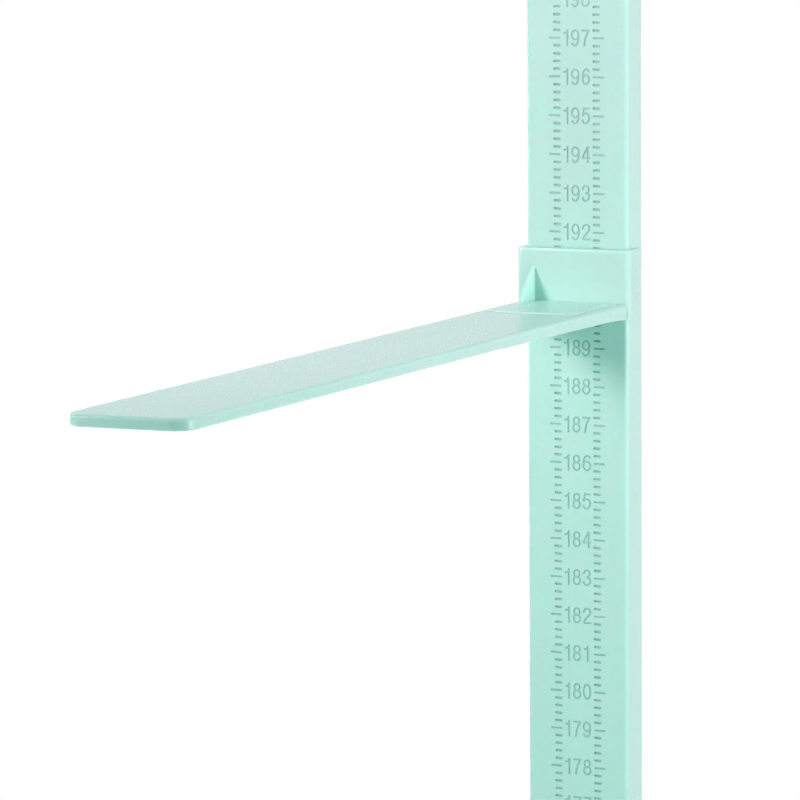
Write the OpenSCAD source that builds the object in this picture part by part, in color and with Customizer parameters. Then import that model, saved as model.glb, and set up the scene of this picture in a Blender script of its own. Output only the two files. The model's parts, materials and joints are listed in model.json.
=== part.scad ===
// Wall height measuring rod: a two-metre channel in four sections, carried on
// wall brackets, with a sleeve and a flat headboard that slide along it.
// Millimetres. +Z is up, the wall is the plane Y = 0 and the front is towards -Y.
// Z = 0 is the floor, so every height in this file is also a reading on the scale.
// Each joint of two sections lies midway between two centimetres, clear of their numbers.

/* [Rod] */
// Length of one section of the rod
section_len = 500; // [300:10:600]
// Width across the front face
rod_w = 28; // [26:0.5:34]
// Depth from the wall to the front face
rod_d = 11.5; // [10.5:0.5:14]
// How far each side leans in towards the wall, in degrees
side_lean = 3.8; // [2:0.2:5]
// Thickness of the front wall
front_wall = 2; // [1.6:0.1:2.4]
// Thickness of the side walls
side_wall = 1.6; // [1.4:0.1:1.8]
// Rounding of the front edges
rod_edge_r = 1; // [0.6:0.1:1.2]

/* [Sleeve] */
// Gap between the sleeve and the rod
slide_gap = 0.2; // [0.15:0.05:0.3]
// Thickness of the sleeve's front wall
sleeve_front = 2.8; // [2:0.1:3.2]
// Thickness of the sleeve's side walls
sleeve_wall = 1.5; // [1.4:0.1:2]
// Height of the sleeve
sleeve_h = 17.8; // [16:0.2:24]
// How far the sleeve's arms reach back along the sides of the rod
arm_reach = 6.5; // [5:0.5:7]
// Height of the gusset above the tongue
gusset_h = 8.8; // [6:0.2:10]
// How far the gusset reaches out over the tongue
gusset_reach = 10.2; // [6:0.2:14]

/* [Headboard] */
// Length of the headboard in front of the sleeve
board_l = 252.5; // [160:0.5:260]
// Width of the headboard
board_w = 30; // [28:0.5:31]
// Thickness of the headboard
board_t = 2.8; // [2.4:0.1:3.2]
// Height of the measuring face, the headboard's underside, at rest
reading = 1899.2; // [60:0.1:1950]

/* [Wall brackets] */
// Distance between the two screw holes of a joint bracket
joint_hole_spacing = 60; // [50:2:80]
// Distance between the two screw holes of an end bracket
end_hole_spacing = 30; // [24:2:40]
// Radius of a screw hole
screw_hole_r = 2.1; // [1.8:0.1:2.4]

/* [Hidden] */
$fn = 64;

// Colours
mint = [0.73, 0.92, 0.88];
mint_deep = [0.66, 0.88, 0.83];
bracket_white = [0.90, 0.92, 0.91];
foam_grey = [0.55, 0.57, 0.58];
felt_grey = [0.35, 0.38, 0.38];

// Rod
sections = 4;
joint_rise = 5;
rod_top = sections * section_len + joint_rise;
cap_t = 3;
cap_overhang = 1.6;
cap_corner_r = 2;
plug_h = 10;
plug_fit = 0.1;
lip_t = 1.5;
slot_half_w = rod_w / 2 - 3.8;
rib_x = 6;
rib_w = 1;
rib_h = 2;
inner_r = 0.6;

// Wall brackets and the foam pads behind them
foam_t = 1;
bracket_t = 3;
bracket_fit = 0.2;
flange_half_w = rod_w / 2 - 2.8;
bracket_margin = 10;
end_bracket_z = 20;
countersink_r = 4.2;
countersink_land = bracket_t + screw_hole_r - countersink_r;
foam_margin = 5;
foam_half_w = rod_w / 2 - 5.5;

// Sleeve, tongue and gusset
sleeve_half_w = rod_w / 2 + slide_gap + sleeve_wall;
sleeve_d = rod_d + slide_gap + sleeve_front;
sleeve_edge_r = 1.6;
sleeve_upper_r = 0.7;
sleeve_lower_r = 0.5;
arm_end = rod_d - arm_reach;
root_drop = 1.1;
sleeve_bottom = reading - root_drop;
tongue_w = 24.4;
tongue_l = 28.5;
tongue_t = 1.5;
tongue_rise = 0.3;
tongue_corner_r = 3;
gusset_t = 1;
gusset_inset = 0.7;

// Headboard
board_top = reading + board_t;
board_corner_r = 5;
board_upper_r = 1;
board_lower_r = 0.3;
wedge_l = 80;
wedge_drop = 0.6;
root_fillet_l = 12;
recess_fit = 0.1;

// Staked pins that hold the headboard under the tongue
pin_r = 1.25;
pin_head_r = 2;
pin_head_t = 0.6;
pin_fit = 0.05;
pin_x = 8;
pin_y = [8, 22];

// Friction pads in the sleeve's arms
pad_sink = 0.7;
pad_proud = 0.15;
pad_h = 10;
pad_from = arm_end + 1.2;
pad_to = rod_d - rod_edge_r - 0.3;

eps = 0.01;

// Cross-section of the rod

// Outline with a flat front, rounded front edges and sides that lean in towards the wall
module leaning_outline(half_w, depth, r) {
    cx = half_w - r;
    cy = depth - r;
    foot = cx + r * cos(side_lean) - (cy + r * sin(side_lean)) * tan(side_lean);
    corner = foot + depth * tan(side_lean);
    difference() {
        polygon([[-foot, 0], [foot, 0], [corner, -depth], [-corner, -depth]]);
        for (side = [0, 1])
            mirror([side, 0, 0])
                translate([cx, -cy])
                    difference() {
                        polygon([
                            [0, 0], [2 * r * cos(side_lean), 2 * r * sin(side_lean)],
                            [3 * r, -3 * r], [0, -2 * r]
                        ]);
                        circle(r);
                    }
    }
}

// The rod's own outline, made larger by a gap all round
module around_rod(gap) {
    leaning_outline(rod_w / 2 + gap, rod_d + gap, rod_edge_r + gap);
}

// Strip of the section's plane between two distances from the wall
module between(near, far) {
    translate([-50, -far]) square([100, far - near]);
}

module rod_cavity(fit = 0) {
    difference() {
        intersection() {
            leaning_outline(rod_w / 2 - side_wall - fit, rod_d - front_wall - fit, inner_r);
            between(lip_t, rod_d);
        }
        for (side = [-1, 1])
            translate([side * rib_x - rib_w / 2 - fit, -rod_d])
                square([rib_w + 2 * fit, front_wall + rib_h + fit]);
    }
}

module rod_profile() {
    difference() {
        around_rod(0);
        rod_cavity();
        translate([-slot_half_w, -lip_t - eps]) square([2 * slot_half_w, lip_t + 1]);
    }
}

function joint_z(number) = number * section_len + joint_rise;

// The first section starts on top of the bottom cap
module rod_section(number) {
    from = number == 1 ? cap_t : joint_z(number - 1);
    color(mint)
        translate([0, 0, from])
            linear_extrude(joint_z(number) - from) rod_profile();
}

// Cap with a plug that pushes into the end of the rod; its rim stops the sleeve
module end_cap() {
    color(mint_deep) {
        linear_extrude(cap_t)
            leaning_outline(rod_w / 2 + cap_overhang, rod_d + cap_overhang, cap_corner_r);
        translate([0, 0, cap_t - eps]) linear_extrude(plug_h + eps) rod_cavity(plug_fit);
    }
}

// Wall brackets

module bracket_profile() {
    translate([-slot_half_w + bracket_fit, -foam_t - bracket_t])
        square([2 * (slot_half_w - bracket_fit), bracket_t]);
    translate([-flange_half_w, -foam_t - bracket_t])
        square([2 * flange_half_w, foam_t + bracket_t - lip_t]);
}

// Plate that hooks behind the rod's lips, with two countersunk holes along Z
module bracket(middle, spacing) {
    length = spacing + 2 * bracket_margin;
    color(bracket_white)
        difference() {
            translate([0, 0, middle - length / 2]) linear_extrude(length) bracket_profile();
            for (side = [-1, 1])
                translate([0, 0, middle + side * spacing / 2]) rotate([90, 0, 0]) {
                    cylinder(r = screw_hole_r, h = 3 * bracket_t);
                    translate([0, 0, foam_t + countersink_land])
                        cylinder(
                            r1 = screw_hole_r, r2 = countersink_r,
                            h = bracket_t - countersink_land
                        );
                }
        }
}

module foam_pad(middle, spacing) {
    length = spacing - 2 * foam_margin;
    color(foam_grey)
        translate([-foam_half_w, -foam_t, middle - length / 2])
            cube([2 * foam_half_w, foam_t, length]);
}

end_bracket_middle = end_bracket_z + bracket_margin + end_hole_spacing / 2;

// Plate with rounded free edges and corners

// Edge seen from its end: square at x = 0, rounded at x = width
module edge_profile(width, t, upper_r, lower_r) {
    union() {
        square([width - max(upper_r, lower_r), t]);
        translate([0, lower_r]) square([width, t - upper_r - lower_r]);
        square([width - lower_r, t - upper_r]);
        translate([width - upper_r, t - upper_r]) circle(upper_r);
        translate([width - lower_r, lower_r]) circle(lower_r);
    }
}

// Root at y = 0, free end at y = -l, underside at z = 0
module soft_plate(w, l, t, corner_r, upper_r, lower_r) {
    for (side = [0, 1])
        mirror([side, 0, 0]) {
            rotate([90, 0, 0])
                linear_extrude(l - corner_r) edge_profile(w / 2, t, upper_r, lower_r);
            translate([w / 2 - corner_r, -(l - corner_r), 0])
                rotate([0, 0, -90])
                    rotate_extrude(angle = 90) edge_profile(corner_r, t, upper_r, lower_r);
            translate([0, -(l - corner_r), 0])
                rotate([90, 0, -90])
                    mirror([0, 0, 1])
                        linear_extrude(w / 2 - corner_r)
                            edge_profile(corner_r, t, upper_r, lower_r);
        }
}

// Plan of a plate with two rounded corners at its free end
module tongue_plan(grow) {
    hw = tongue_w / 2 + grow;
    r = tongue_corner_r + grow;
    far = tongue_l + grow;
    union() {
        translate([-hw, -(far - r)]) square([2 * hw, far - r]);
        translate([-(hw - r), -far]) square([2 * (hw - r), far]);
        for (side = [-1, 1]) translate([side * (hw - r), -(far - r)]) circle(r);
    }
}

// Sleeve

module sleeve_profile() {
    difference() {
        intersection() {
            leaning_outline(sleeve_half_w, sleeve_d, sleeve_edge_r);
            between(arm_end, sleeve_d);
        }
        around_rod(slide_gap);
    }
}

// Side view of the sleeve, with its upper and lower front edges rounded
module sleeve_side() {
    union() {
        translate([0, sleeve_lower_r])
            square([sleeve_d, sleeve_h - sleeve_lower_r - sleeve_upper_r]);
        square([sleeve_d - sleeve_upper_r, sleeve_h]);
        square([sleeve_d - sleeve_lower_r, sleeve_h - sleeve_upper_r]);
        translate([sleeve_d - sleeve_lower_r, sleeve_lower_r]) circle(sleeve_lower_r);
        translate([sleeve_d - sleeve_upper_r, sleeve_h - sleeve_upper_r])
            circle(sleeve_upper_r);
    }
}

module sleeve() {
    translate([0, 0, sleeve_bottom])
        intersection() {
            linear_extrude(sleeve_h) sleeve_profile();
            translate([-sleeve_half_w - 1, 0, 0])
                rotate([90, 0, 90])
                    mirror([1, 0, 0])
                        linear_extrude(2 * sleeve_half_w + 2) sleeve_side();
        }
}

tongue_bottom = board_top + tongue_rise - tongue_t;

module tongue() {
    translate([0, -sleeve_d, tongue_bottom])
        soft_plate(tongue_w, tongue_l, tongue_t, tongue_corner_r, tongue_rise, eps);
    // Root of the tongue, set into the sleeve's wall
    translate([-tongue_w / 2, -sleeve_d - 0.5, tongue_bottom])
        cube([tongue_w, 1, tongue_t]);
}

// Thin triangle beside the tongue's left edge that stiffens the corner
module gusset() {
    translate([gusset_inset - tongue_w / 2, -sleeve_d, board_top + tongue_rise])
        rotate([90, 0, 90])
            linear_extrude(gusset_t)
                polygon([
                    [eps, -eps], [-gusset_reach, -eps], [-gusset_reach, 0],
                    [0, gusset_h], [eps, gusset_h]
                ]);
}

// Pins moulded under the tongue, each ending in a staked head
module staked_pins(grow) {
    for (x = [-pin_x, pin_x], y = pin_y)
        translate([x, -sleeve_d - y, 0]) {
            translate([0, 0, reading])
                cylinder(r = pin_r + grow, h = tongue_bottom - reading + eps);
            translate([0, 0, reading - (grow > 0 ? eps : 0)])
                cylinder(r = pin_head_r + grow, h = pin_head_t + (grow > 0 ? eps : 0));
        }
}

// Space in each arm for its friction pad
module pad_space(side, from_gap, h) {
    translate([0, 0, sleeve_bottom + (sleeve_h - h) / 2])
        linear_extrude(h)
            intersection() {
                difference() {
                    around_rod(slide_gap + pad_sink);
                    around_rod(from_gap);
                }
                translate([side > 0 ? 0 : -50, -pad_to]) square([50, pad_to - pad_from]);
            }
}

module slider() {
    color(mint)
        difference() {
            union() {
                sleeve();
                tongue();
                gusset();
                staked_pins(0);
            }
            for (side = [-1, 1]) pad_space(side, 0, pad_h);
        }
}

module friction_pad(side) {
    color(felt_grey) pad_space(side, slide_gap - pad_proud, pad_h);
}

// Headboard

// Slow swell under the board towards its root, ending in a hollow curve at the sleeve
module root_swell() {
    lean = atan(wedge_drop / wedge_l);
    // Where the curve leaves the wedge
    start_y = -root_fillet_l;
    start_z = -wedge_drop * (1 - root_fillet_l / wedge_l);
    along = root_fillet_l * cos(lean) + (root_drop + start_z) * sin(lean);
    across = (root_drop + start_z) * cos(lean) - root_fillet_l * sin(lean);
    curve_r = (along * along + across * across) / (2 * across);
    translate([-board_w / 2, -sleeve_d, reading])
        rotate([90, 0, 90])
            linear_extrude(board_w)
                difference() {
                    polygon([
                        [-wedge_l, 0], [start_y, start_z], [start_y, -root_drop],
                        [0, -root_drop], [0, board_lower_r], [-wedge_l, board_lower_r]
                    ]);
                    translate([start_y - curve_r * sin(lean), start_z - curve_r * cos(lean)])
                        circle(curve_r, $fn = 512);
                }
}

module headboard() {
    color(mint)
        difference() {
            union() {
                translate([0, -sleeve_d, reading])
                    soft_plate(
                        board_w, board_l, board_t,
                        board_corner_r, board_upper_r, board_lower_r
                    );
                root_swell();
            }
            translate([0, -sleeve_d + eps, tongue_bottom])
                linear_extrude(board_t) tongue_plan(recess_fit);
            staked_pins(pin_fit);
        }
}

module rod_section_1() { rod_section(1); }
module rod_section_2() { rod_section(2); }
module rod_section_3() { rod_section(3); }
module rod_section_4() { rod_section(4); }
module bottom_cap() { end_cap(); }
module top_cap() {
    translate([0, 0, rod_top + cap_t]) mirror([0, 0, 1]) end_cap();
}
module bottom_bracket() { bracket(end_bracket_middle, end_hole_spacing); }
module joint_bracket_1() { bracket(joint_z(1), joint_hole_spacing); }
module joint_bracket_2() { bracket(joint_z(2), joint_hole_spacing); }
module joint_bracket_3() { bracket(joint_z(3), joint_hole_spacing); }
module top_bracket() { bracket(rod_top - end_bracket_middle, end_hole_spacing); }
module foam_pad_1() { foam_pad(end_bracket_middle, end_hole_spacing); }
module foam_pad_2() { foam_pad(joint_z(1), joint_hole_spacing); }
module foam_pad_3() { foam_pad(joint_z(2), joint_hole_spacing); }
module foam_pad_4() { foam_pad(joint_z(3), joint_hole_spacing); }
module foam_pad_5() { foam_pad(rod_top - end_bracket_middle, end_hole_spacing); }
module friction_pad_left() { friction_pad(-1); }
module friction_pad_right() { friction_pad(1); }

rod_section_1();
rod_section_2();
rod_section_3();
rod_section_4();
bottom_cap();
top_cap();
bottom_bracket();
joint_bracket_1();
joint_bracket_2();
joint_bracket_3();
top_bracket();
foam_pad_1();
foam_pad_2();
foam_pad_3();
foam_pad_4();
foam_pad_5();
slider();
headboard();
friction_pad_left();
friction_pad_right();
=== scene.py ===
# %% [markdown]
# # A wall height measuring rod
# The real object is a two metre plastic channel with a scale cut into its front.
# A sleeve slides along it and carries a flat headboard, whose underside is read
# against the scale. The solids come packed from the CAD model and stay where they
# are. This script gives each of them the shape and the finish that one would see.

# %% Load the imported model
import json
import math

import bmesh
import bpy
from mathutils import Matrix, Vector

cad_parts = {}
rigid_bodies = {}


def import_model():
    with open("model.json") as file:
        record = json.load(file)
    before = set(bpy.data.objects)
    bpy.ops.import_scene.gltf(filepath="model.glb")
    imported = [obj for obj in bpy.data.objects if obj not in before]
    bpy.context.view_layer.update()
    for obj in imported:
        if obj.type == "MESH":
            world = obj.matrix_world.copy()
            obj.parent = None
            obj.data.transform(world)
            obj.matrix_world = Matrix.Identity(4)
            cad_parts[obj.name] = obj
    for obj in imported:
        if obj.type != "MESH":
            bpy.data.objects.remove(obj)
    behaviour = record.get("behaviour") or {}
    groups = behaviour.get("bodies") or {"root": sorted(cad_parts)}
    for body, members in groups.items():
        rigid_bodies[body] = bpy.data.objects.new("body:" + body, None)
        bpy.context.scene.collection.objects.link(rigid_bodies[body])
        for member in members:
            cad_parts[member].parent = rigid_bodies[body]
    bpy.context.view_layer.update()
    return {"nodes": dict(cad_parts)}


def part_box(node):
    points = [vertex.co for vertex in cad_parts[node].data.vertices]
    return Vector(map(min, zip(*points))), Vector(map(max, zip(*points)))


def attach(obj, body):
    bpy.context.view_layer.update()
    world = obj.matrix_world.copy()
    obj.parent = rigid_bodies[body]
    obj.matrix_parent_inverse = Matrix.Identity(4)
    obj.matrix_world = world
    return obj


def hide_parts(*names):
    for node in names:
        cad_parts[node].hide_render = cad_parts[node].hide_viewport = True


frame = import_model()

MM = 0.001

# %% [markdown]
# ## Reading the sizes from the solids
# Every piece here has to sit exactly where its solid sits. Typing the places again
# would work until someone moves a part, so the boxes of the solids are asked
# instead, and only what a box can't tell, such as a wall's thickness, is written.

# %% Measure the rod
rod_lo, rod_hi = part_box("rod_section_2")
ROD_WIDTH = rod_hi.x - rod_lo.x
ROD_DEPTH = rod_hi.y - rod_lo.y
FRONT_Y = rod_lo.y
SECTIONS = sorted(n for n in frame["nodes"] if n.startswith("rod_section_"))
print(f"rod {ROD_WIDTH / MM:.1f} wide, {ROD_DEPTH / MM:.1f} deep, {len(SECTIONS)} sections")

# %% [markdown]
# ## The camera
# The photograph looks down a little and from the right, through a long lens, so
# parallel edges stay nearly parallel. A long lens far away gives that. Its turn is
# written as three angles, because they say what the photographer did: turned left,
# tipped down, and held the camera a little off level.

# %% Place the camera
CAMERA_PLACE = Vector((0.513667, -1.260801, 2.041139))
TURN_LEFT = math.radians(24.299)
TIP_DOWN = math.radians(6.943)
ROLL = math.radians(-0.383)
LENS = 236.5404
SENSOR_WIDTH = 36
FARTHEST_SEEN = 50


def add_object(name, data):
    """A new object in the scene."""
    thing = bpy.data.objects.new(name, data)
    bpy.context.scene.collection.objects.link(thing)
    return thing


def camera_turn(left, down, roll):
    """The camera's rotation from three angles."""
    level = math.cos(down)
    ahead = Vector((-math.sin(left) * level, math.cos(left) * level, -math.sin(down)))
    right = Vector((math.cos(left), math.sin(left), 0))
    up = right.cross(ahead)
    across = right * math.cos(roll) + up * math.sin(roll)
    upward = up * math.cos(roll) - right * math.sin(roll)
    return Matrix((across, upward, -ahead)).transposed()


camera = add_object("camera", bpy.data.cameras.new("camera"))
camera.data.lens = LENS
camera.data.sensor_width = SENSOR_WIDTH
camera.data.clip_end = FARTHEST_SEEN
turned = camera_turn(TURN_LEFT, TIP_DOWN, ROLL).to_4x4()
camera.matrix_world = Matrix.Translation(CAMERA_PLACE) @ turned
bpy.context.scene.camera = camera
print("camera", [round(v, 3) for v in camera.location])

# %% [markdown]
# ## Light
# The shadow under the headboard tells where the main lamp hangs: left of the front
# face and a little above it. A second lamp on the right keeps the rod's side
# brighter than its face, one above makes the pale upper edges, and one below fills
# the shade. Area lamps are used, since only they give soft edges to a shadow. The
# main lamps are a little warm and the fill is a little mint, because pale plastic
# that lets light through looks greener in its shade. Such close lamps fade along a
# rod of two metres, so lamps with a narrow spread light the rest of it. The one
# behind is kept out of reflections, where it would show as a white streak.

# %% Hang the lamps
AIM = Vector((0, -0.02, 1.9))
KEY_AIM = Vector((0, -0.02, 1.93))
KEY_AZIMUTH, SIDE_AZIMUTH = -31.5, 84


def softbox(name, azimuth, elevation, distance, size, power, colour, spread=180, aim=AIM):
    """An area lamp that faces aim. Azimuth 0 is straight in front of the rod.

    A negative azimuth is to the left. Angles are in degrees, lengths in metres.
    """
    a, e = math.radians(azimuth), math.radians(elevation)
    away = Vector((math.sin(a) * math.cos(e), -math.cos(a) * math.cos(e), math.sin(e)))
    lamp = add_object(name, bpy.data.lights.new(name, "AREA"))
    lamp.data.shape = "RECTANGLE"
    lamp.data.size, lamp.data.size_y = size
    lamp.data.energy = power
    lamp.data.color = colour
    lamp.data.spread = math.radians(spread)
    lamp.visible_camera = False
    lamp.location = aim + away * distance
    lamp.rotation_mode = "QUATERNION"
    lamp.rotation_quaternion = (-away).to_track_quat("-Z", "Y")
    return lamp


softbox(
    "key_softbox", KEY_AZIMUTH, 17, 0.6, (0.16, 0.16), 0.37, (1, 0.7, 0.78), spread=60, aim=KEY_AIM
)
softbox("side_softbox", SIDE_AZIMUTH, 8, 0.6, (0.25, 0.45), 3.5, (1, 0.79, 0.85))
softbox("top_softbox", -15, 65, 0.7, (0.5, 0.4), 0.9, (0.8, 0.97, 1))
softbox("under_softbox", 0, -50, 0.8, (0.4, 0.4), 1.9, (0.8, 0.99, 1))

# The rest of the rod and its back
LOW_COLOUR = (1, 0.9, 0.92)
for number, (height, power) in enumerate(((0.35, 1.3), (1.0, 1.05))):
    middle = Vector((0, -0.01, height))
    for side, azimuth in (("front", KEY_AZIMUTH), ("right", SIDE_AZIMUTH)):
        softbox(
            f"{side}_softbox_{number}", azimuth, 3, 1.5, (0.4, 0.4), power, LOW_COLOUR,
            spread=50, aim=middle,
        )
back = softbox("back_softbox", 197, 0, 1.5, (0.5, 1.6), 17, (1, 1, 1), aim=Vector((0, 0, 1.0)))
back.visible_glossy = False

# %% [markdown]
# ## Surroundings
# Behind a studio product shot there is paper, evenly white. A white world seen by
# the camera and by reflections gives that background without adding light to the
# object. All other rays get a weaker, even light with the mint tint of the fill.

# %% Helpers for nodes
def link(tree, *pairs):
    """Links output sockets to input sockets."""
    for source, target in pairs:
        tree.links.new(source, target)


def math_node(tree, operation, *values):
    """A Math node whose inputs are sockets or numbers. Returns its output."""
    node = tree.nodes.new("ShaderNodeMath")
    node.operation = operation
    for socket, value in zip(node.inputs, values):
        if isinstance(value, (int, float)):
            socket.default_value = value
        else:
            tree.links.new(value, socket)
    return node.outputs[0]


# %% White surroundings and a pale floor
AMBIENT = 0.27
FILL = (0.66, 1.0, 0.94, 1.0)
WHITE = (1, 1, 1, 1)
world = bpy.data.worlds.new("studio")
bpy.context.scene.world = world
world.use_nodes = True
studio = world.node_tree
studio.nodes.clear()
rays = studio.nodes.new("ShaderNodeLightPath").outputs
seen = math_node(studio, "MAXIMUM", rays["Is Camera Ray"], rays["Is Glossy Ray"])
seen = math_node(studio, "MAXIMUM", seen, rays["Is Transmission Ray"])
strength = studio.nodes.new("ShaderNodeMapRange")
strength.inputs["To Min"].default_value = AMBIENT
strength.inputs["To Max"].default_value = 1.0
tint = studio.nodes.new("ShaderNodeMix")
tint.data_type = "RGBA"
tint.inputs["A"].default_value = FILL
tint.inputs["B"].default_value = WHITE
background = studio.nodes.new("ShaderNodeBackground")
w_out = studio.nodes.new("ShaderNodeOutputWorld")
link(
    studio,
    (seen, strength.inputs["Value"]), (strength.outputs[0], background.inputs["Strength"]),
    (seen, tint.inputs["Factor"]), (tint.outputs["Result"], background.inputs["Color"]),
    (background.outputs[0], w_out.inputs["Surface"]),
)

FLOOR_HALF = 2.5
floor_mesh = bpy.data.meshes.new("floor")
floor_signs = ((-1, -1), (1, -1), (1, 1), (-1, 1))
floor_corners = [(x * FLOOR_HALF, y * FLOOR_HALF, 0) for x, y in floor_signs]
floor_mesh.from_pydata(floor_corners, [], [(0, 1, 2, 3)])
floor = add_object("floor", floor_mesh)
bpy.context.scene.view_settings.view_transform = "Standard"
print("floor", 2 * FLOOR_HALF, "m wide, world strength away from the camera", AMBIENT)

# %% [markdown]
# ## Colours
# A colour is easiest to note as a picture shows it, from 0 to 255. Blender's
# sockets want linear light, so one small function turns the one into the other.

# %% Colour helper
def rgb(red, green, blue):
    """A shown colour as linear values with alpha."""
    linear = [
        v / 12.92 if v <= 0.04045 else ((v + 0.055) / 1.055) ** 2.4
        for v in (red / 255, green / 255, blue / 255)
    ]
    return (*linear, 1.0)


MINT = rgb(184, 232, 221)
print("mint in linear light:", [round(v, 3) for v in MINT[:3]])

# %% [markdown]
# ## Shared surface effects
# Moulded and extruded plastic is never quite even. It has a fine grain that breaks
# up reflections, and its tone drifts slowly along the piece. Both are wanted in
# several materials at different strengths, so each is a node group with named
# sockets, built once.

# %% Node group helper
def new_group(name, inputs, outputs):
    """An empty shader group with its sockets. Each socket is a kind, a name and a value."""
    group = bpy.data.node_groups.new(name, "ShaderNodeTree")
    for kind, label, value in inputs:
        socket = group.interface.new_socket(label, in_out="INPUT", socket_type="NodeSocket" + kind)
        socket.default_value = value
    for kind, label in outputs:
        group.interface.new_socket(label, in_out="OUTPUT", socket_type="NodeSocket" + kind)
    return group, group.nodes.new("NodeGroupInput"), group.nodes.new("NodeGroupOutput")


# %% Fine grain of plastic
GRAIN_DETAIL, GRAIN_ROUGHNESS = 3.0, 0.6
MASK_FROM, MASK_TO = 0.35, 0.65


def make_grain_group():
    """Tiny uneven height, as on plastic that has left a mould or a die."""
    group, given, out = new_group(
        "plastic_grain",
        [("Float", "Size", 0.0006), ("Float", "Long", 1.0)],
        [("Float", "Height"), ("Float", "Mask")],
    )
    place = group.nodes.new("ShaderNodeTexCoord")
    stretch = group.nodes.new("ShaderNodeVectorMath")
    stretch.operation = "DIVIDE"
    size = group.nodes.new("ShaderNodeCombineXYZ")
    drawn_out = math_node(group, "MULTIPLY", given.outputs["Size"], given.outputs["Long"])
    noise = group.nodes.new("ShaderNodeTexNoise")
    noise.inputs["Scale"].default_value = 1.0
    noise.inputs["Detail"].default_value = GRAIN_DETAIL
    noise.inputs["Roughness"].default_value = GRAIN_ROUGHNESS
    mask = group.nodes.new("ShaderNodeMapRange")
    mask.inputs["From Min"].default_value = MASK_FROM
    mask.inputs["From Max"].default_value = MASK_TO
    link(
        group,
        (given.outputs["Size"], size.inputs["X"]), (given.outputs["Size"], size.inputs["Y"]),
        (drawn_out, size.inputs["Z"]),
        (place.outputs["Object"], stretch.inputs[0]), (size.outputs[0], stretch.inputs[1]),
        (stretch.outputs[0], noise.inputs["Vector"]),
        (noise.outputs["Fac"], out.inputs["Height"]),
        (noise.outputs["Fac"], mask.inputs["Value"]), (mask.outputs[0], out.inputs["Mask"]),
    )
    return group


# %% Slow drift of the tone
def make_drift_group():
    """A colour that drifts a little lighter and darker along a piece."""
    group, given, out = new_group(
        "tone_drift",
        [("Color", "Colour", MINT), ("Float", "Amount", 0.03), ("Float", "Size", 0.06)],
        [("Color", "Colour")],
    )
    place = group.nodes.new("ShaderNodeTexCoord")
    scaled = group.nodes.new("ShaderNodeVectorMath")
    scaled.operation = "SCALE"
    inverse = math_node(group, "DIVIDE", 1.0, given.outputs["Size"])
    noise = group.nodes.new("ShaderNodeTexNoise")
    noise.inputs["Scale"].default_value = 1.0
    noise.inputs["Detail"].default_value = 1.0
    around_zero = math_node(group, "SUBTRACT", noise.outputs["Fac"], 0.5)
    factor = math_node(group, "MULTIPLY_ADD", around_zero, given.outputs["Amount"], 1.0)
    tint = group.nodes.new("ShaderNodeVectorMath")
    tint.operation = "SCALE"
    link(
        group,
        (place.outputs["Object"], scaled.inputs[0]), (inverse, scaled.inputs["Scale"]),
        (scaled.outputs[0], noise.inputs["Vector"]),
        (given.outputs["Colour"], tint.inputs[0]), (factor, tint.inputs["Scale"]),
        (tint.outputs[0], out.inputs["Colour"]),
    )
    return group


GRAIN = make_grain_group()
DRIFT = make_drift_group()
print("shared effects:", GRAIN.name, DRIFT.name)

# %% [markdown]
# ## Plastics
# The rod is an extruded profile: satin, with a grain drawn out along its length.
# The sleeve and the headboard are moulded. Both let light in for a millimetre or
# so, which is why the thin gusset glows and the shadows have no hard edge, so the
# plastic gets subsurface light. The floor's paper shows a little lighter to the
# camera than the lamps make it, so it stays pale and still takes the shadow. One
# function makes them all, and each material gets its own numbers.

# %% Plastic material
PLASTIC_IOR = 1.4
GLOW_REACH = (0.6, 1.0, 0.9)


def plastic(
    name, colour, roughness, grain_size, grain_height,
    grain_long=1.0, drift=0.03, spread=0.06, glow=0.0,
):
    """A plastic whose colour drifts and whose gloss is broken up by a fine grain.

    Spread is how far the roughness strays, and glow is how deep light gets in.
    """
    material = bpy.data.materials.new(name)
    material.use_nodes = True
    tree = material.node_tree
    shader = tree.nodes["Principled BSDF"]
    tone = tree.nodes.new("ShaderNodeGroup")
    tone.node_tree = DRIFT
    tone.inputs["Colour"].default_value = colour
    tone.inputs["Amount"].default_value = drift
    grain = tree.nodes.new("ShaderNodeGroup")
    grain.node_tree = GRAIN
    grain.inputs["Size"].default_value = grain_size
    grain.inputs["Long"].default_value = grain_long
    gloss = tree.nodes.new("ShaderNodeMapRange")
    gloss.inputs["To Min"].default_value = roughness - spread
    gloss.inputs["To Max"].default_value = roughness + spread
    bump = tree.nodes.new("ShaderNodeBump")
    bump.inputs["Distance"].default_value = grain_height
    link(
        tree,
        (tone.outputs["Colour"], shader.inputs["Base Color"]),
        (grain.outputs["Mask"], gloss.inputs["Value"]),
        (gloss.outputs[0], shader.inputs["Roughness"]),
        (grain.outputs["Height"], bump.inputs["Height"]),
        (bump.outputs[0], shader.inputs["Normal"]),
    )
    shader.inputs["IOR"].default_value = PLASTIC_IOR
    shader.inputs["Subsurface Weight"].default_value = 1.0 if glow else 0.0
    shader.inputs["Subsurface Radius"].default_value = GLOW_REACH
    shader.inputs["Subsurface Scale"].default_value = glow
    return material


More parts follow.
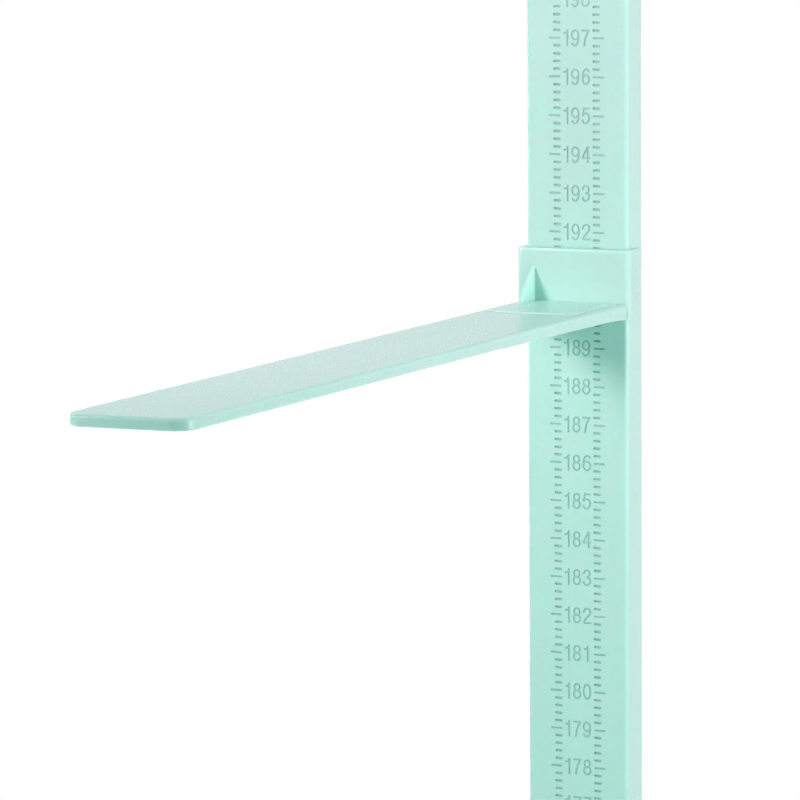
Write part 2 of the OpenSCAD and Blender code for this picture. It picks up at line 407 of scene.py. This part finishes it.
ROD_PLASTIC = plastic(
    "rod_plastic", MINT, 0.24, 0.5 * MM, 0.001 * MM, grain_long=6.0, spread=0.02, glow=1.4 * MM
)
# The groove colour is a darker mint: painted shade in the cut marks, deeper than their walls alone
# give
GROOVE_PAINTED_SHADE = plastic("engraved_plastic", rgb(153, 208, 196), 0.5, 0.3 * MM, 0.01 * MM)
SLIDER_PLASTIC = plastic(
    "slider_plastic", rgb(183, 230, 219), 0.26, 0.4 * MM, 0.0006 * MM, spread=0.02, glow=1.2 * MM
)
BRACKET_PLASTIC = plastic("bracket_plastic", rgb(232, 236, 234), 0.45, 0.5 * MM, 0.01 * MM)
FOAM = plastic("foam", rgb(150, 154, 156), 0.9, 0.5 * MM, 0.15 * MM, drift=0.12)
FELT = plastic("felt", rgb(92, 98, 98), 0.95, 0.12 * MM, 0.06 * MM, drift=0.15)
print("plastics:", [m.name for m in bpy.data.materials])

# %% Paper of the floor
PAPER_LIFT = 0.4
FLOOR_PAPER = plastic("floor_paper", rgb(236, 237, 236), 0.85, 3 * MM, 0.05 * MM, drift=0.01)
paper = FLOOR_PAPER.node_tree
paper_shader = paper.nodes["Principled BSDF"]
to_camera = paper.nodes.new("ShaderNodeLightPath").outputs["Is Camera Ray"]
lifted = math_node(paper, "MULTIPLY", to_camera, PAPER_LIFT)
link(paper, (lifted, paper_shader.inputs["Emission Strength"]))
paper_shader.inputs["Emission Color"].default_value = rgb(240, 240, 238)
floor_mesh.materials.append(FLOOR_PAPER)
print("floor material:", FLOOR_PAPER.name)

# %% [markdown]
# ## Helpers for meshes
# A mesh that is built in code needs the same last steps each time: put it in an
# object, let its modifiers run, and keep the result as a plain mesh at the origin.

# %% Mesh helpers
def mesh_object(name, bm):
    """A new object from a bmesh, which is used up."""
    bmesh.ops.recalc_face_normals(bm, faces=bm.faces)
    mesh = bpy.data.meshes.new(name)
    bm.to_mesh(mesh)
    bm.free()
    return add_object(name, mesh)


def skin(bm, low, high):
    """Faces from one ring of corners to the next."""
    for i in range(len(low)):
        j = (i + 1) % len(low)
        bm.faces.new((low[i], low[j], high[j], high[i]))


def settle(piece):
    """Runs the piece's modifiers and keeps what comes out as its plain mesh."""
    seen_by_blender = piece.evaluated_get(bpy.context.evaluated_depsgraph_get())
    mesh = bpy.data.meshes.new_from_object(seen_by_blender)
    old = piece.data
    piece.modifiers.clear()
    piece.data = mesh
    mesh.name = piece.name
    bpy.data.meshes.remove(old)
    return piece


def smooth_flats(piece, angle=30):
    """Smooth curves and truly flat faces: sharp edges by angle, then normals weighted by area."""
    piece.data.shade_smooth()
    piece.data.set_sharp_from_angle(angle=math.radians(angle))
    weighted = piece.modifiers.new("weighted", "WEIGHTED_NORMAL")
    weighted.keep_sharp = True
    return settle(piece)


def triangles(piece):
    """How many triangles a piece has."""
    return sum(len(face.vertices) - 2 for face in piece.data.polygons)


# %% [markdown]
# Cutting two thousand marks leaves the rod's front as long thin triangles, and
# averaged normals would tilt them. The front is flat, so its corners are told so.

# %% True normals for the flat front
FORWARD = Vector((0, -1, 0))
NEARLY_FORWARD = 0.98
FRONT_LIMIT = FRONT_Y + 0.001 * MM


def flatten_front(piece):
    """Gives each corner in the rod's front plane the normal of that plane."""
    mesh = piece.data
    normals = [corner.vector.copy() for corner in mesh.corner_normals]
    for face in mesh.polygons:
        if face.normal.y < -NEARLY_FORWARD:
            for loop in face.loop_indices:
                if mesh.vertices[mesh.loops[loop].vertex_index].co.y < FRONT_LIMIT:
                    normals[loop] = FORWARD
    mesh.normals_split_custom_set(normals)


# %% [markdown]
# ## The rod's profile
# On the real rod one profile runs unchanged from floor to top, so it is drawn once
# as corners with a radius each. The code below rounds every corner with an arc.

# %% Draw the profile
LEAN = math.radians(3.8)
FRONT_WALL, SIDE_WALL, LIP = 2 * MM, 1.6 * MM, 1.5 * MM
EDGE_R, INNER_R, SMALL_R = 1 * MM, 0.6 * MM, 0.25 * MM
SLOT_HALF = 10.2 * MM
RIB_X, RIB_W, RIB_H = 6 * MM, 1 * MM, 2 * MM
ARC_STEPS = 8


def side_x(half, depth, r, y):
    """Where a side that leans towards the wall stands, at a distance y from the wall."""
    at_arc = half - r + r * math.cos(LEAN)
    return at_arc - (depth - r + r * math.sin(LEAN) - y) * math.tan(LEAN)


def turned_by(arm, angle):
    """A flat vector turned anticlockwise."""
    cos, sin = math.cos(angle), math.sin(angle)
    return Vector((arm.x * cos - arm.y * sin, arm.x * sin + arm.y * cos))


def rounded(corners, steps):
    """A loop of points with an arc at each corner. A corner is x, y and its radius."""
    loop = []
    for i, (x, y, r) in enumerate(corners):
        here = Vector((x, y))
        back = (Vector(corners[i - 1][:2]) - here).normalized()
        ahead = (Vector(corners[(i + 1) % len(corners)][:2]) - here).normalized()
        if r <= 0:
            loop.append(here)
            continue
        half_turn = back.angle(ahead) / 2
        centre = here + (back + ahead).normalized() * (r / math.sin(half_turn))
        start = here + back * (r / math.tan(half_turn)) - centre
        end = here + ahead * (r / math.tan(half_turn)) - centre
        sweep = start.angle_signed(end)
        count = max(2, round(steps * abs(sweep) / (math.pi / 2)))
        for k in range(count + 1):
            turn = -sweep * k / count
            loop.append(centre + turned_by(start, turn))
    return loop


def half_profile():
    """The right half of the channel, from the middle of its front round to its middle again."""
    inner_half, inner_depth = ROD_WIDTH / 2 - SIDE_WALL, ROD_DEPTH - FRONT_WALL
    rib_top = -(ROD_DEPTH - FRONT_WALL - RIB_H)
    return [
        (side_x(ROD_WIDTH / 2, ROD_DEPTH, EDGE_R, ROD_DEPTH), -ROD_DEPTH, EDGE_R),
        (side_x(ROD_WIDTH / 2, ROD_DEPTH, EDGE_R, 0), 0, SMALL_R),
        (SLOT_HALF, 0, SMALL_R),
        (SLOT_HALF, -LIP, SMALL_R),
        (side_x(inner_half, inner_depth, INNER_R, LIP), -LIP, SMALL_R),
        (side_x(inner_half, inner_depth, INNER_R, inner_depth), -inner_depth, INNER_R),
        (RIB_X + RIB_W / 2, -inner_depth, SMALL_R),
        (RIB_X + RIB_W / 2, rib_top, SMALL_R),
        (RIB_X - RIB_W / 2, rib_top, SMALL_R),
        (RIB_X - RIB_W / 2, -inner_depth, SMALL_R),
    ]


right_half = half_profile()
left_half = [(-x, y, r) for x, y, r in reversed(right_half)]
PROFILE = rounded(right_half + left_half, ARC_STEPS)
print("points round the profile:", len(PROFILE))

# %% [markdown]
# ## A plain length of rod
# Each section is the profile drawn out along Z. Its sawn ends have the least
# chamfer, which is what makes a joint of two sections show as a fine line.

# %% Extrude the profile
END_CHAMFER = 0.12 * MM


def inset_loop(loop, amount):
    """The same loop moved inwards. The loop runs anticlockwise."""
    moved = []
    for i, point in enumerate(loop):
        before = (point - loop[i - 1]).normalized()
        after = (loop[(i + 1) % len(loop)] - point).normalized()
        inward = Vector((-before.y - after.y, before.x + after.x)).normalized()
        half = math.cos(before.angle(after) / 2)
        moved.append(point + inward * (amount / half))
    return moved


def channel(name, bottom, top):
    """A closed length of the channel between two heights."""
    bm = bmesh.new()
    small = inset_loop(PROFILE, END_CHAMFER)
    levels = [
        (small, bottom), (PROFILE, bottom + END_CHAMFER), (PROFILE, top - END_CHAMFER), (small, top)
    ]
    rings = [[bm.verts.new((p.x, p.y, z)) for p in loop] for loop, z in levels]
    for low, high in zip(rings, rings[1:]):
        skin(bm, low, high)
    bm.faces.new(list(reversed(rings[0])))
    bm.faces.new(rings[-1])
    return mesh_object(name, bm)


# %% [markdown]
# ## Grooves
# The scale is cut into the plastic, so its marks have walls that catch the light
# and a floor in shade. A bump map can't do that for someone who comes close. Each
# mark and each stroke of a digit is therefore a small solid, wider at the top than
# at the floor like the tool that cut it, and is taken out of the rod.
# The cut faces also get a darker mint, which is painted shade on top of the shade that the walls
# give.

# %% Solid for one stroke
# Width at the top, width at the floor and depth
FINE_GROOVE = (0.66 * MM, 0.5 * MM, 0.4 * MM)
CENTIMETRE_GROOVE = (0.52 * MM, 0.38 * MM, 0.3 * MM)
DIGIT_GROOVE = (0.5 * MM, 0.36 * MM, 0.22 * MM)
DEEPEST = 0.42 * MM
GROOVE_OVER = 0.10 * MM
END_STEPS = 5
LEAST_STRETCH = 0.5


def stroke_outline(points, half):
    """The outline of an open stroke with round ends, as x and z pairs."""
    left, right = [], []
    for i, point in enumerate(points):
        before = (point - points[i - 1]).normalized() if i else None
        after = (points[i + 1] - point).normalized() if i + 1 < len(points) else None
        along = ((before or after) + (after or before)).normalized()
        side = Vector((-along.y, along.x))
        stretch = 1 / max(LEAST_STRETCH, along.dot(after or before))
        left.append(point + side * half * stretch)
        right.append(point - side * half * stretch)

    def cap(centre, edge):
        turns = [-math.pi * k / END_STEPS for k in range(1, END_STEPS)]
        return [centre + turned_by(edge - centre, turn) for turn in turns]

    return left + cap(points[-1], left[-1]) + list(reversed(right)) + cap(points[0], right[0])


def closed_rings(path, half):
    """The outer and inner edge of a stroke that closes on itself, as x and z pairs."""
    rings = []
    for way in (1, -1):
        ring = []
        for i, point in enumerate(path):
            along = (path[(i + 1) % len(path)] - path[i - 1]).normalized()
            ring.append(point + Vector((-along.y, along.x)) * half * way)
        rings.append(ring)
    return rings


def stroke_solid(name, strokes, groove):
    """A closed solid for the strokes. A stroke is its points in mm and whether it closes."""
    top, floor, depth = groove
    slope = (top - floor) / 2 / depth
    levels = (
        (FRONT_Y - GROOVE_OVER, top / 2 + slope * GROOVE_OVER),
        (FRONT_Y + depth, floor / 2),
    )
    solids = []
    for number, (points, closed) in enumerate(strokes):
        path = [Vector(p) * MM for p in points]
        bm = bmesh.new()
        rings = []
        for y, half in levels:
            for ring in closed_rings(path, half) if closed else [stroke_outline(path, half)]:
                rings.append([bm.verts.new((p.x, y, p.y)) for p in ring])
        if closed:
            for a, b in ((0, 1), (1, 3), (3, 2), (2, 0)):
                skin(bm, rings[a], rings[b])
        else:
            skin(bm, *rings)
            for ring in rings:
                bm.faces.new(ring)
        solids.append(mesh_object(f"{name}_{number}", bm))
    whole = solids[0]
    for other in solids[1:]:
        union = whole.modifiers.new("union", "BOOLEAN")
        union.operation, union.solver, union.object = "UNION", "MANIFOLD", other
        settle(whole)
        bpy.data.objects.remove(other)
    whole.name = whole.data.name = name
    return whole


# %% [markdown]
# ## Digits
# The numbers are plain round digits of one stroke width. Each is written as the
# path that a pen would follow, in millimetres from the middle of the digit, and
# the curves between the written points are smoothed by a spline.

# %% Pen paths of the digits
def spline(points, steps=5, closed=False):
    """A smooth curve through the points (Catmull-Rom)."""
    count = len(points)
    out = []
    for i in range(count if closed else count - 1):
        if closed:
            p0, p1, p2, p3 = (Vector(points[(i + k) % count]) for k in (-1, 0, 1, 2))
        else:
            p1, p2 = Vector(points[i]), Vector(points[i + 1])
            p0 = Vector(points[i - 1]) if i else p1 * 2 - p2
            p3 = Vector(points[i + 2]) if i + 2 < count else p2 * 2 - p1
        for k in range(steps):
            t = k / steps
            square = (2 * p0 - 5 * p1 + 4 * p2 - p3) * t * t
            cube = (3 * p1 - p0 - 3 * p2 + p3) * t ** 3
            out.append(0.5 * (2 * p1 + (p2 - p0) * t + square + cube))
    if not closed:
        out.append(Vector(points[-1]))
    return [tuple(p) for p in out]


def oval(x, z, half_w, half_h, count=24, square=1.0):
    """A closed loop, slightly squarer than an ellipse where square is below 1."""
    loop = []
    for k in range(count):
        a = 2 * math.pi * k / count
        c, s = math.cos(a), math.sin(a)
        loop.append((
            x + half_w * math.copysign(abs(c) ** square, c),
            z + half_h * math.copysign(abs(s) ** square, s),
        ))
    return loop


def curve(*points, steps=4):
    """An open curved stroke."""
    return spline(points, steps), False


def straight(*points):
    """An open stroke of straight lines."""
    return list(points), False


SIX_HOOK, _ = curve(
    (0.90, 1.42), (0.62, 1.80), (0.08, 1.93), (-0.45, 1.62), (-0.74, 0.9), (-0.84, 0.0),
    (-0.82, -0.7),
)
SIX_BOWL = oval(0.09, -0.72, 0.91, 1.15)
DIGITS = {
    0: [(oval(0, 0, 0.90, 1.87, 28, 0.9), True)],
    1: [straight((0.22, 1.95), (0.22, -1.95)),
        curve((-0.72, 1.16), (-0.3, 1.22), (0.05, 1.45), (0.22, 1.95), steps=3)],
    2: [curve((-0.84, 0.95), (-0.62, 1.62), (0.03, 1.92), (0.7, 1.68), (0.95, 1.1), (0.72, 0.3),
              (-0.04, -0.55), (-0.62, -1.25), (-0.82, -1.87)),
        straight((-0.82, -1.87), (0.98, -1.87))],
    3: [curve((-0.82, 1.12), (-0.58, 1.72), (0.0, 1.94), (0.62, 1.7), (0.82, 1.13), (0.6, 0.45),
              (0.05, 0.2)),
        curve((0.05, 0.2), (0.7, -0.1), (0.98, -0.8), (0.7, -1.55), (0.02, -1.9), (-0.62, -1.72),
              (-0.9, -1.1))],
    4: [straight((0.5, 1.92), (-0.92, -0.72)), straight((-0.92, -0.78), (1.0, -0.78)),
        straight((0.55, 1.92), (0.55, -1.95))],
    5: [straight((-0.55, 1.87), (0.82, 1.87)), straight((-0.55, 1.87), (-0.76, 0.12)),
        curve((-0.76, 0.12), (-0.35, 0.55), (0.15, 0.62), (0.7, 0.3), (0.95, -0.5), (0.72, -1.45),
              (0.05, -1.9), (-0.6, -1.7), (-0.88, -1.15))],
    6: [(SIX_HOOK, False), (SIX_BOWL, True)],
    7: [straight((-0.95, 1.87), (0.93, 1.87)),
        curve((0.93, 1.87), (0.3, 0.75), (-0.15, -0.5), (-0.36, -1.95))],
    8: [(oval(0, 1.0, 0.78, 0.88, 20), True), (oval(0, -0.87, 0.93, 1.0, 22), True)],
    9: [([(-x, -z) for x, z in SIX_HOOK], False), ([(-x, -z) for x, z in SIX_BOWL], True)],
}


def put_away(cutter, collection):
    """Moves a cutter out of the scene into a collection that the tree reads."""
    collection.objects.link(cutter)
    bpy.context.scene.collection.objects.unlink(cutter)


digit_cutters = bpy.data.collections.new("digit_cutters")
for digit, strokes in DIGITS.items():
    put_away(stroke_solid(f"digit_{digit}", strokes, DIGIT_GROOVE), digit_cutters)

# %% [markdown]
# ## Marks
# There is a fine mark every two millimetres and a longer one at each centimetre,
# on both sides of the numbers. A left and a right mark always come together, so
# they are one cutter.

# %% Fine and centimetre marks
FINE_MARK = (4.75, 6.15)
CENTIMETRE_MARK = (4.8, 7.4)
mark_cutters = bpy.data.collections.new("mark_cutters")
for name, (near, far), groove in (
    ("mark_0_fine", FINE_MARK, FINE_GROOVE),
    ("mark_1_centimetre", CENTIMETRE_MARK, CENTIMETRE_GROOVE),
):
    pair = [straight((near, 0), (far, 0)), straight((-far, 0), (-near, 0))]
    put_away(stroke_solid(name, pair, groove), mark_cutters)

# %% [markdown]
# ## Cutting the scale
# Two thousand marks and five hundred digits follow one rule, so Geometry Nodes
# place them. A line of points carries the marks and another one the numbers. Each
# number is split into hundreds, tens and ones by dividing, and each place picks
# the cutter with that digit. Then everything is taken out of the section at once.

# %% Build the tree
FIRST_MARK, FIRST_NUMBER = 6, 1
MARKS_PER_SECTION, NUMBERS_PER_SECTION = 250, 50
MARK_STEP, NUMBER_STEP, NUMBER_RISE = 2 * MM, 10 * MM, 0.05 * MM
# Tens and ones stand this far left and right of the middle, and all move right from 100 on
HALF_PITCH, THREE_DIGIT_SHIFT = 1.4 * MM, 1.15 * MM
# Where the hundreds stand, and how much further left from 200 on
HUNDREDS_X, TWO_HUNDRED_SHIFT = -2.72 * MM, -0.33 * MM
# A cut face, which gets the painted groove shade, lies below the front, above the deepest floor and
# within this half width
CUT_MARGIN, SCALE_HALF = 0.05 * MM, 8 * MM


def build_scale_tree():
    """Cuts marks and numbers into a length of rod, from a first reading upwards."""
    tree = bpy.data.node_groups.new("cut_scale", "GeometryNodeTree")
    for kind, label, value in (
        ("Geometry", "Rod", None),
        ("Int", "First mark", FIRST_MARK), ("Int", "Marks", MARKS_PER_SECTION),
        ("Int", "First number", FIRST_NUMBER), ("Int", "Numbers", NUMBERS_PER_SECTION),
        ("Float", "Mark step", MARK_STEP), ("Float", "Number step", NUMBER_STEP),
        ("Float", "Number rise", NUMBER_RISE),
        ("Collection", "Digit cutters", None), ("Collection", "Mark cutters", None),
        ("Material", "Plastic", None), ("Material", "Cut plastic", None),
    ):
        socket = tree.interface.new_socket(label, in_out="INPUT", socket_type="NodeSocket" + kind)
        if value is not None:
            socket.default_value = value
    tree.interface.new_socket("Rod", in_out="OUTPUT", socket_type="NodeSocketGeometry")
    given, out = tree.nodes.new("NodeGroupInput").outputs, tree.nodes.new("NodeGroupOutput")

    def calc(operation, *values):
        """A Math node in this tree."""
        return math_node(tree, operation, *values)

    def point_line(count, start, step):
        """A line of points up the rod."""
        line = tree.nodes.new("GeometryNodeMeshLine")
        first, offset = (tree.nodes.new("ShaderNodeCombineXYZ") for _ in range(2))
        link(
            tree, (count, line.inputs["Count"]),
            (start, first.inputs["Z"]), (first.outputs[0], line.inputs["Start Location"]),
            (step, offset.inputs["Z"]), (offset.outputs[0], line.inputs["Offset"]),
        )
        return line.outputs["Mesh"]

    def cutters_on(points, cutters, pick, selection=None):
        """Instances of the picked cutters on the points."""
        info = tree.nodes.new("GeometryNodeCollectionInfo")
        info.inputs["Separate Children"].default_value = True
        place = tree.nodes.new("GeometryNodeInstanceOnPoints")
        place.inputs["Pick Instance"].default_value = True
        link(
            tree, (cutters, info.inputs["Collection"]), (points, place.inputs["Points"]),
            (info.outputs[0], place.inputs["Instance"]), (pick, place.inputs["Instance Index"]),
        )
        if selection is not None:
            tree.links.new(selection, place.inputs["Selection"])
        return place.outputs["Instances"]

    index = tree.nodes.new("GeometryNodeInputIndex").outputs[0]
    together = tree.nodes.new("GeometryNodeJoinGeometry")

    # Marks: the reading in mm is 2 for each point, and each tenth mm gets the long one
    reading = calc("MULTIPLY_ADD", index, 2, given["First mark"])
    is_centimetre = calc("COMPARE", calc("FLOORED_MODULO", reading, 10), 0, 0.5)
    mark_start = calc("MULTIPLY", given["First mark"], calc("MULTIPLY", given["Mark step"], 0.5))
    marks = point_line(given["Marks"], mark_start, given["Mark step"])
    link(tree, (cutters_on(marks, given["Mark cutters"], is_centimetre), together.inputs[0]))

    # Numbers: a place is shown from 1, 10 or 100 upwards, and moves out as places are added
    number = calc("ADD", index, given["First number"])
    number_step = given["Number step"]
    number_start = calc("MULTIPLY_ADD", given["First number"], number_step, given["Number rise"])
    two, three, four = (calc("GREATER_THAN", number, n) for n in (9.5, 99.5, 199.5))
    places = (
        (1, calc("MULTIPLY_ADD", three, THREE_DIGIT_SHIFT, calc("MULTIPLY", two, HALF_PITCH))),
        (10, calc("MULTIPLY_ADD", three, THREE_DIGIT_SHIFT, -HALF_PITCH)),
        (100, calc("MULTIPLY_ADD", four, TWO_HUNDRED_SHIFT, HUNDREDS_X)),
    )
    for value, x in places:
        points = point_line(given["Numbers"], number_start, number_step)
        shift = tree.nodes.new("ShaderNodeCombineXYZ")
        move = tree.nodes.new("GeometryNodeSetPosition")
        link(
            tree, (x, shift.inputs["X"]), (points, move.inputs["Geometry"]),
            (shift.outputs[0], move.inputs["Offset"]),
        )
        # A hundredth is added, so that a division never falls just short of a whole number
        whole = calc("FLOOR", calc("DIVIDE", calc("ADD", number, 0.01), value))
        digit = calc("FLOORED_MODULO", whole, 10)
        shown = calc("GREATER_THAN", number, value - 0.5)
        digits = cutters_on(move.outputs[0], given["Digit cutters"], digit, shown)
        link(tree, (digits, together.inputs[0]))

    # Cut, then tell the cut faces by their depth below the front and give them the painted groove
    # shade
    cut = tree.nodes.new("GeometryNodeMeshBoolean")
    cut.operation, cut.solver = "DIFFERENCE", "MANIFOLD"
    real_cutters, real = (tree.nodes.new("GeometryNodeRealizeInstances") for _ in range(2))
    place = tree.nodes.new("GeometryNodeInputPosition")
    split = tree.nodes.new("ShaderNodeSeparateXYZ")
    link(
        tree, (given["Rod"], cut.inputs["Mesh 1"]), (together.outputs[0], real_cutters.inputs[0]),
        (real_cutters.outputs[0], cut.inputs["Mesh 2"]), (cut.outputs["Mesh"], real.inputs[0]),
        (place.outputs[0], split.inputs[0]),
    )
    below = calc("GREATER_THAN", split.outputs["Y"], FRONT_Y + CUT_MARGIN)
    above = calc("LESS_THAN", split.outputs["Y"], FRONT_Y + DEEPEST + CUT_MARGIN)
    inside = calc("LESS_THAN", calc("ABSOLUTE", split.outputs["X"]), SCALE_HALF)
    groove_shade_mask = calc("MULTIPLY", calc("MULTIPLY", below, above), inside)
    paint, paint_groove_shade = (tree.nodes.new("GeometryNodeSetMaterial") for _ in range(2))
    link(
        tree, (real.outputs[0], paint.inputs["Geometry"]),
        (given["Plastic"], paint.inputs["Material"]),
        (paint.outputs[0], paint_groove_shade.inputs["Geometry"]),
        (given["Cut plastic"], paint_groove_shade.inputs["Material"]),
        (groove_shade_mask, paint_groove_shade.inputs["Selection"]), (paint_groove_shade.outputs[0], out.inputs[0]),
    )
    return tree


SCALE_TREE = build_scale_tree()
print("nodes in the scale's tree:", len(SCALE_TREE.nodes))


# %% Cut each section
def set_inputs(modifier, values):
    """Sets a modifier's inputs by their names in the tree."""
    for item in modifier.node_group.interface.items_tree:
        if item.item_type == "SOCKET" and item.in_out == "INPUT" and item.name in values:
            modifier[item.identifier] = values[item.name]


for order, node in enumerate(SECTIONS):
    lo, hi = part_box(node)
    piece = channel(f"{node}_engraved", lo.z, hi.z)
    scale = piece.modifiers.new("scale", "NODES")
    scale.node_group = SCALE_TREE
    set_inputs(scale, {
        "First mark": FIRST_MARK + order * 2 * MARKS_PER_SECTION,
        "Marks": MARKS_PER_SECTION,
        "First number": FIRST_NUMBER + order * NUMBERS_PER_SECTION,
        "Numbers": NUMBERS_PER_SECTION,
        "Mark step": MARK_STEP,
        "Number step": NUMBER_STEP,
        "Number rise": NUMBER_RISE,
        "Digit cutters": digit_cutters,
        "Mark cutters": mark_cutters,
        "Plastic": ROD_PLASTIC,
        "Cut plastic": GROOVE_PAINTED_SHADE,
    })
    settle(piece)
    smooth_flats(piece)
    flatten_front(piece)
    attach(piece, "rod")
    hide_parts(node)
    print(piece.name, "triangles:", triangles(piece))

# %% [markdown]
# ## Moulded pieces
# The sleeve, the headboard and the caps have their right shape already. What a
# moulded piece has besides is an edge that is never quite sharp. A copy of the
# solid is merged into one surface and gets a narrow bevel. The gusset's foot is
# also drawn in by a tenth, because next to the real one it reaches out too far.

# %% Trim the gusset
GUSSET_LEFT, GUSSET_RIGHT = -11.6 * MM, -10.4 * MM
GUSSET_NEAR, GUSSET_FAR = 0.01 * MM, 12 * MM
GUSSET_SHARE = 0.9


def trim_gusset(bm):
    """Draws the gusset's foot a little nearer to the sleeve.

    Its corners slide on the flat faces that they stand on.
    """
    board_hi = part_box("headboard")[1]
    moved = 0
    for vert in bm.verts:
        out = board_hi.y - vert.co.y
        in_gusset = GUSSET_LEFT < vert.co.x < GUSSET_RIGHT and GUSSET_NEAR < out < GUSSET_FAR
        if in_gusset and vert.co.z > board_hi.z:
            vert.co.y = board_hi.y - out * GUSSET_SHARE
            moved += 1
    print("corners of the gusset moved:", moved)


# %% Soften the edges of the moulded pieces
MERGE_WITHIN = 0.002 * MM
FLAT_WITHIN, BEVEL_FROM, SHARP_FROM = 0.5, 35, 32


def softened(node, name, body, material, width, reshape=None):
    """A copy of a CAD node with softened edges, which stands for it."""
    bm = bmesh.new()
    bm.from_mesh(frame["nodes"][node].data)
    bmesh.ops.remove_doubles(bm, verts=bm.verts, dist=MERGE_WITHIN)
    if reshape:
        reshape(bm)
    bmesh.ops.dissolve_limit(
        bm, angle_limit=math.radians(FLAT_WITHIN), verts=bm.verts, edges=bm.edges,
        use_dissolve_boundaries=False,
    )
    mesh = bpy.data.meshes.new(name)
    bm.to_mesh(mesh)
    bm.free()
    piece = add_object(name, mesh)
    mesh.materials.append(material)
    bevel = piece.modifiers.new("bevel", "BEVEL")
    bevel.width, bevel.segments = width, 2
    bevel.limit_method, bevel.angle_limit = "ANGLE", math.radians(BEVEL_FROM)
    bevel.use_clamp_overlap = True
    settle(piece)
    smooth_flats(piece, SHARP_FROM)
    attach(piece, body)
    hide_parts(node)
    print(name, "triangles:", triangles(piece))


softened(
    "slider", "slider_moulding", "slider", SLIDER_PLASTIC, 0.12 * MM, trim_gusset
)
softened("headboard", "headboard_plate", "slider", SLIDER_PLASTIC, 0.12 * MM)
softened("bottom_cap", "bottom_cap_moulding", "rod", SLIDER_PLASTIC, 0.25 * MM)
softened("top_cap", "top_cap_moulding", "rod", SLIDER_PLASTIC, 0.25 * MM)

# %% [markdown]
# ## Pieces that keep their solid
# The brackets, foam pads and friction pads have the right shape, so only their
# material changes. It goes into the slots that their meshes already have.

# %% Materials for the other nodes
def dress(node, material):
    """Puts one material on a CAD node."""
    node_object = frame["nodes"][node]
    if node_object.material_slots:
        for slot_of_node in node_object.material_slots:
            slot_of_node.link = "OBJECT"
            slot_of_node.material = material
    else:
        node_object.data.materials.append(material)


for node in sorted(frame["nodes"]):
    if "bracket" in node:
        dress(node, BRACKET_PLASTIC)
    elif node.startswith("foam_pad"):
        dress(node, FOAM)
    elif node.startswith("friction_pad"):
        dress(node, FELT)

# %% [markdown]
# ## Clearing up
# The cutters have done their work. Left in the file, they would be stray meshes.

# %% Remove the cutters
for cutters in (digit_cutters, mark_cutters):
    for cutter in list(cutters.objects):
        bpy.data.objects.remove(cutter)
    bpy.data.collections.remove(cutters)
